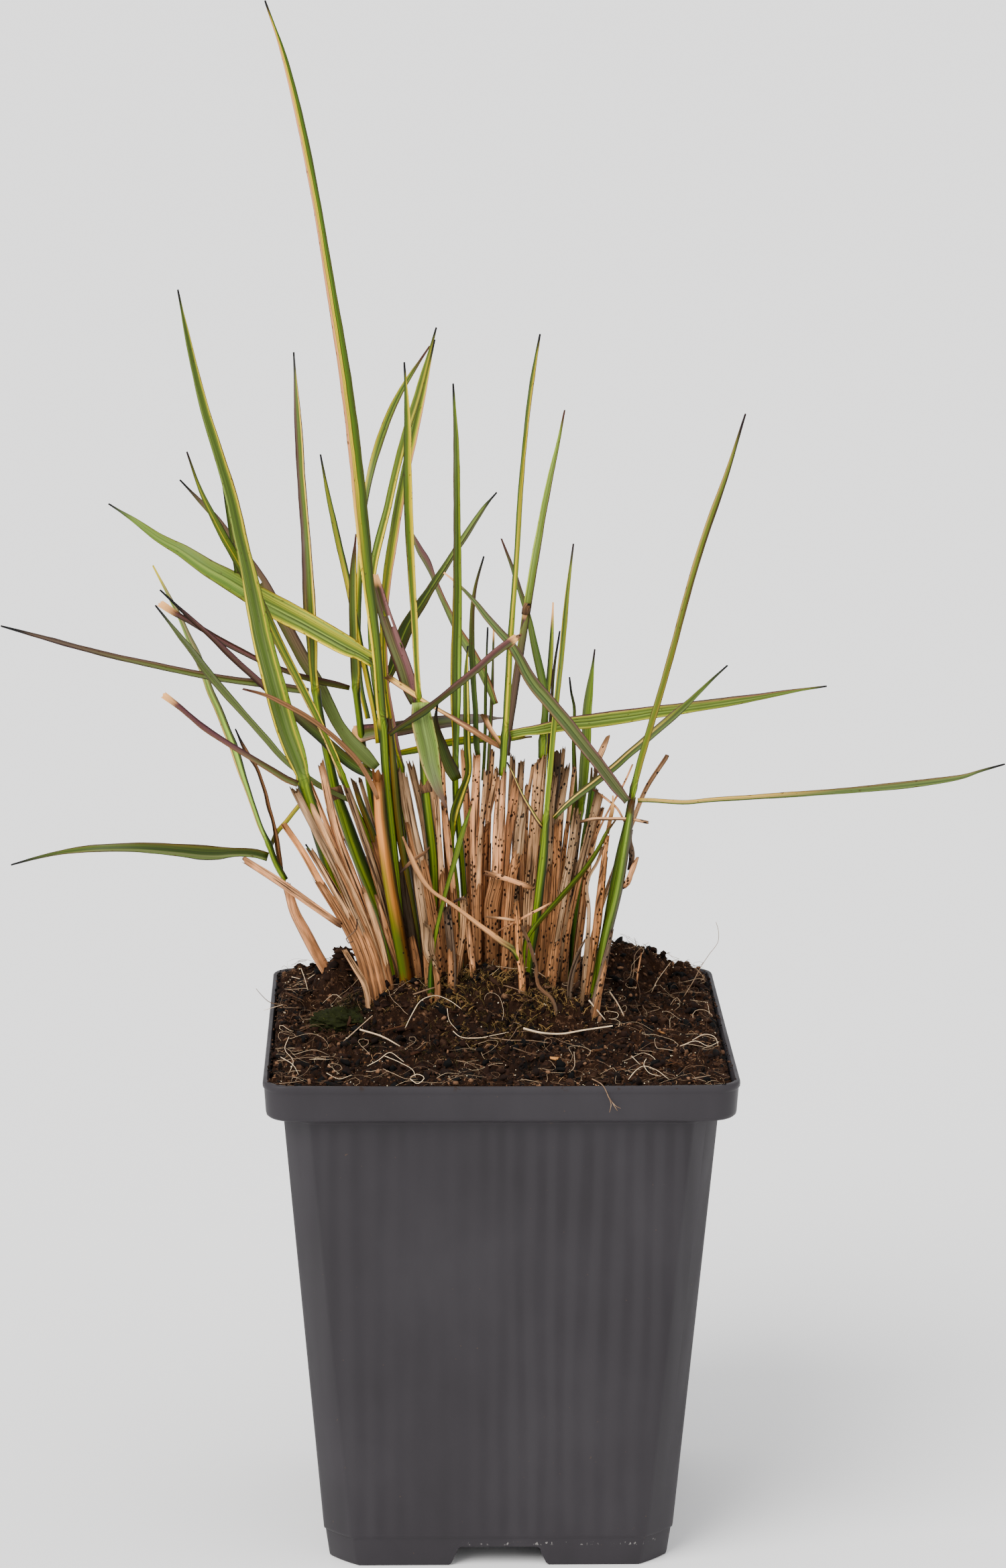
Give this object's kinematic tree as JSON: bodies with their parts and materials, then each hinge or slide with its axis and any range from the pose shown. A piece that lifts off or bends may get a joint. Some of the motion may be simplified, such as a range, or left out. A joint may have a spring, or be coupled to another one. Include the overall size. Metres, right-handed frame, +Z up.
{
  "type": "potted ornamental grass",
  "caption": "Clump of variegated feather reed grass with green, cream and purple leaves among cut dry straws, in a square tapered nursery pot of dark soil.",
  "frame": {"origin": "on the floor, under the middle of the pot's foot; the whole part's box is centred on it", "axes": "+Z up along the leaves, +Y away from the pictured side, +X to its right; the pot's sides run along X and Y"},
  "size_m": [0.2352, 0.11, 0.366],
  "materials": {
    "pot_plastic": "anthracite injection-moulded plastic, satin matt",
    "potting_soil": "dark brown moist peat soil with fine roots and grit",
    "striped_leaf": "green leaf with cream to yellow stripes, satin",
    "purple_leaf": "purple-brown flushed leaf with dark edges, matt",
    "green_leaf": "mid green leaf, satin",
    "dry_straw": "tan dead straw with dark specks, matt"
  },
  "bodies": {
    "root": {"pot": "pot_plastic", "soil": "potting_soil", "tallest_leaf": "striped_leaf", "wide_left_leaf": "striped_leaf", "narrow_striped_leaf": "striped_leaf", "broad_left_leaf": "striped_leaf", "twin_leaf_right": "striped_leaf", "right_tall_leaf": "striped_leaf", "diagonal_leaf": "striped_leaf", "broad_right_leaf": "striped_leaf", "lower_left_leaf": "striped_leaf", "purple_edged_leaf": "purple_leaf", "dark_leaf": "purple_leaf", "far_left_leaf": "purple_leaf", "cut_purple_leaf": "purple_leaf", "slender_grey_leaf": "purple_leaf", "lower_cut_leaf": "purple_leaf", "broad_purple_leaf": "purple_leaf", "cross_purple_leaf": "purple_leaf", "dark_drooping_leaf": "purple_leaf", "far_right_leaf": "purple_leaf", "olive_leaf": "green_leaf", "short_upright_leaf": "green_leaf", "rolled_leaf": "green_leaf", "yellow_leaf": "green_leaf", "arching_leaf": "green_leaf", "twin_leaf_left": "green_leaf", "vertical_leaf": "green_leaf", "drooping_leaf": "green_leaf", "twisted_leaf": "green_leaf", "crossing_leaf": "green_leaf", "centre_leaf": "green_leaf", "upright_centre_leaf": "green_leaf", "straw_tipped_leaf": "green_leaf", "slim_right_leaf": "green_leaf", "rising_leaf": "green_leaf", "bright_upright_leaf": "green_leaf", "green_upright_leaf": "green_leaf", "bent_leaf": "green_leaf", "light_green_leaf": "green_leaf", "short_back_leaf": "green_leaf", "outer_left_leaf": "green_leaf", "orange_sheath": "dry_straw", "cut_straw_left_front": "dry_straw", "cut_straw_left_low": "dry_straw", "cut_straw_left_tall": "dry_straw", "cut_straw_left_inner": "dry_straw", "cut_straw_mid_left": "dry_straw", "cut_straw_middle_thin": "dry_straw", "cut_straw_middle": "dry_straw", "cut_straw_centre": "dry_straw", "cut_straw_centre_right": "dry_straw", "cut_straw_right_back": "dry_straw", "cut_straw_right": "dry_straw", "cut_straw_right_curled": "dry_straw", "orange_right_straw": "dry_straw", "short_front_straw": "dry_straw", "pale_sheath": "dry_straw", "right_straw": "dry_straw", "diagonal_straw": "dry_straw"}
  },
  "joints": []
}
